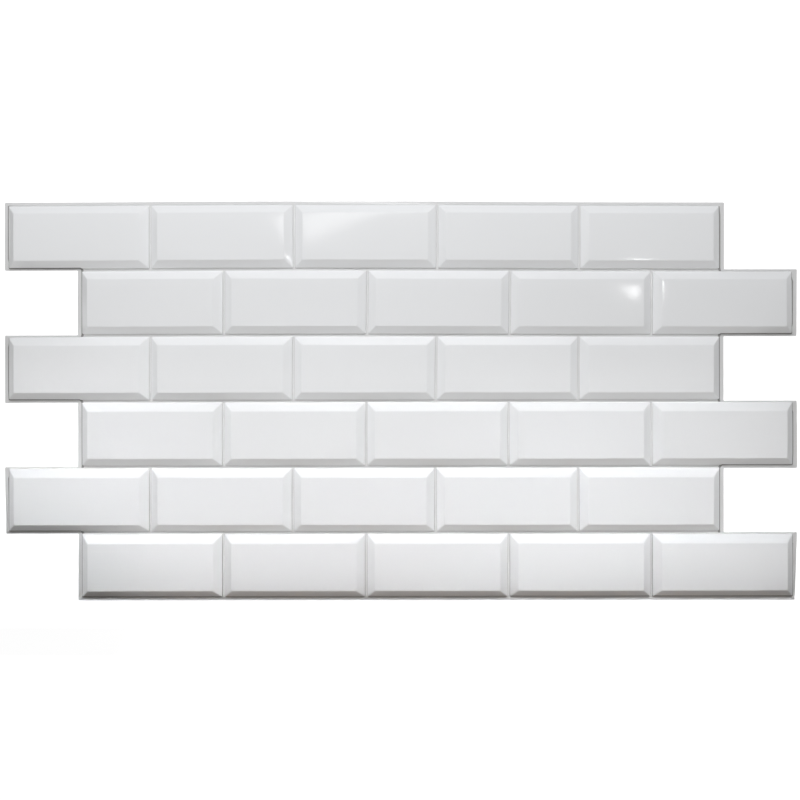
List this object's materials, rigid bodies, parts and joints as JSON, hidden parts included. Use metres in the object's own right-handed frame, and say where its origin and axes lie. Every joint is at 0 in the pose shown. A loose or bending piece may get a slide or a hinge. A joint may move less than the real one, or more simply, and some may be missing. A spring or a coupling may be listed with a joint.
{
  "type": "textured wall panel",
  "caption": "Thin vacuum-formed plastic wall panel shaped as bevelled brick tiles with grey joints, with stepped ends that hook into the next panel.",
  "frame": {"origin": "middle of the panel's outline, on the flat underside of the sheet", "axes": "+X along the courses, +Y across them towards the first course, +Z out of the tiled face"},
  "size_m": [0.9662, 0.4862, 0.0078],
  "materials": {
    "formed_sheet": "white gloss plastic sheet with light grey print in the joints and round the border"
  },
  "bodies": {
    "root": {"formed_sheet": "formed_sheet"}
  },
  "joints": []
}
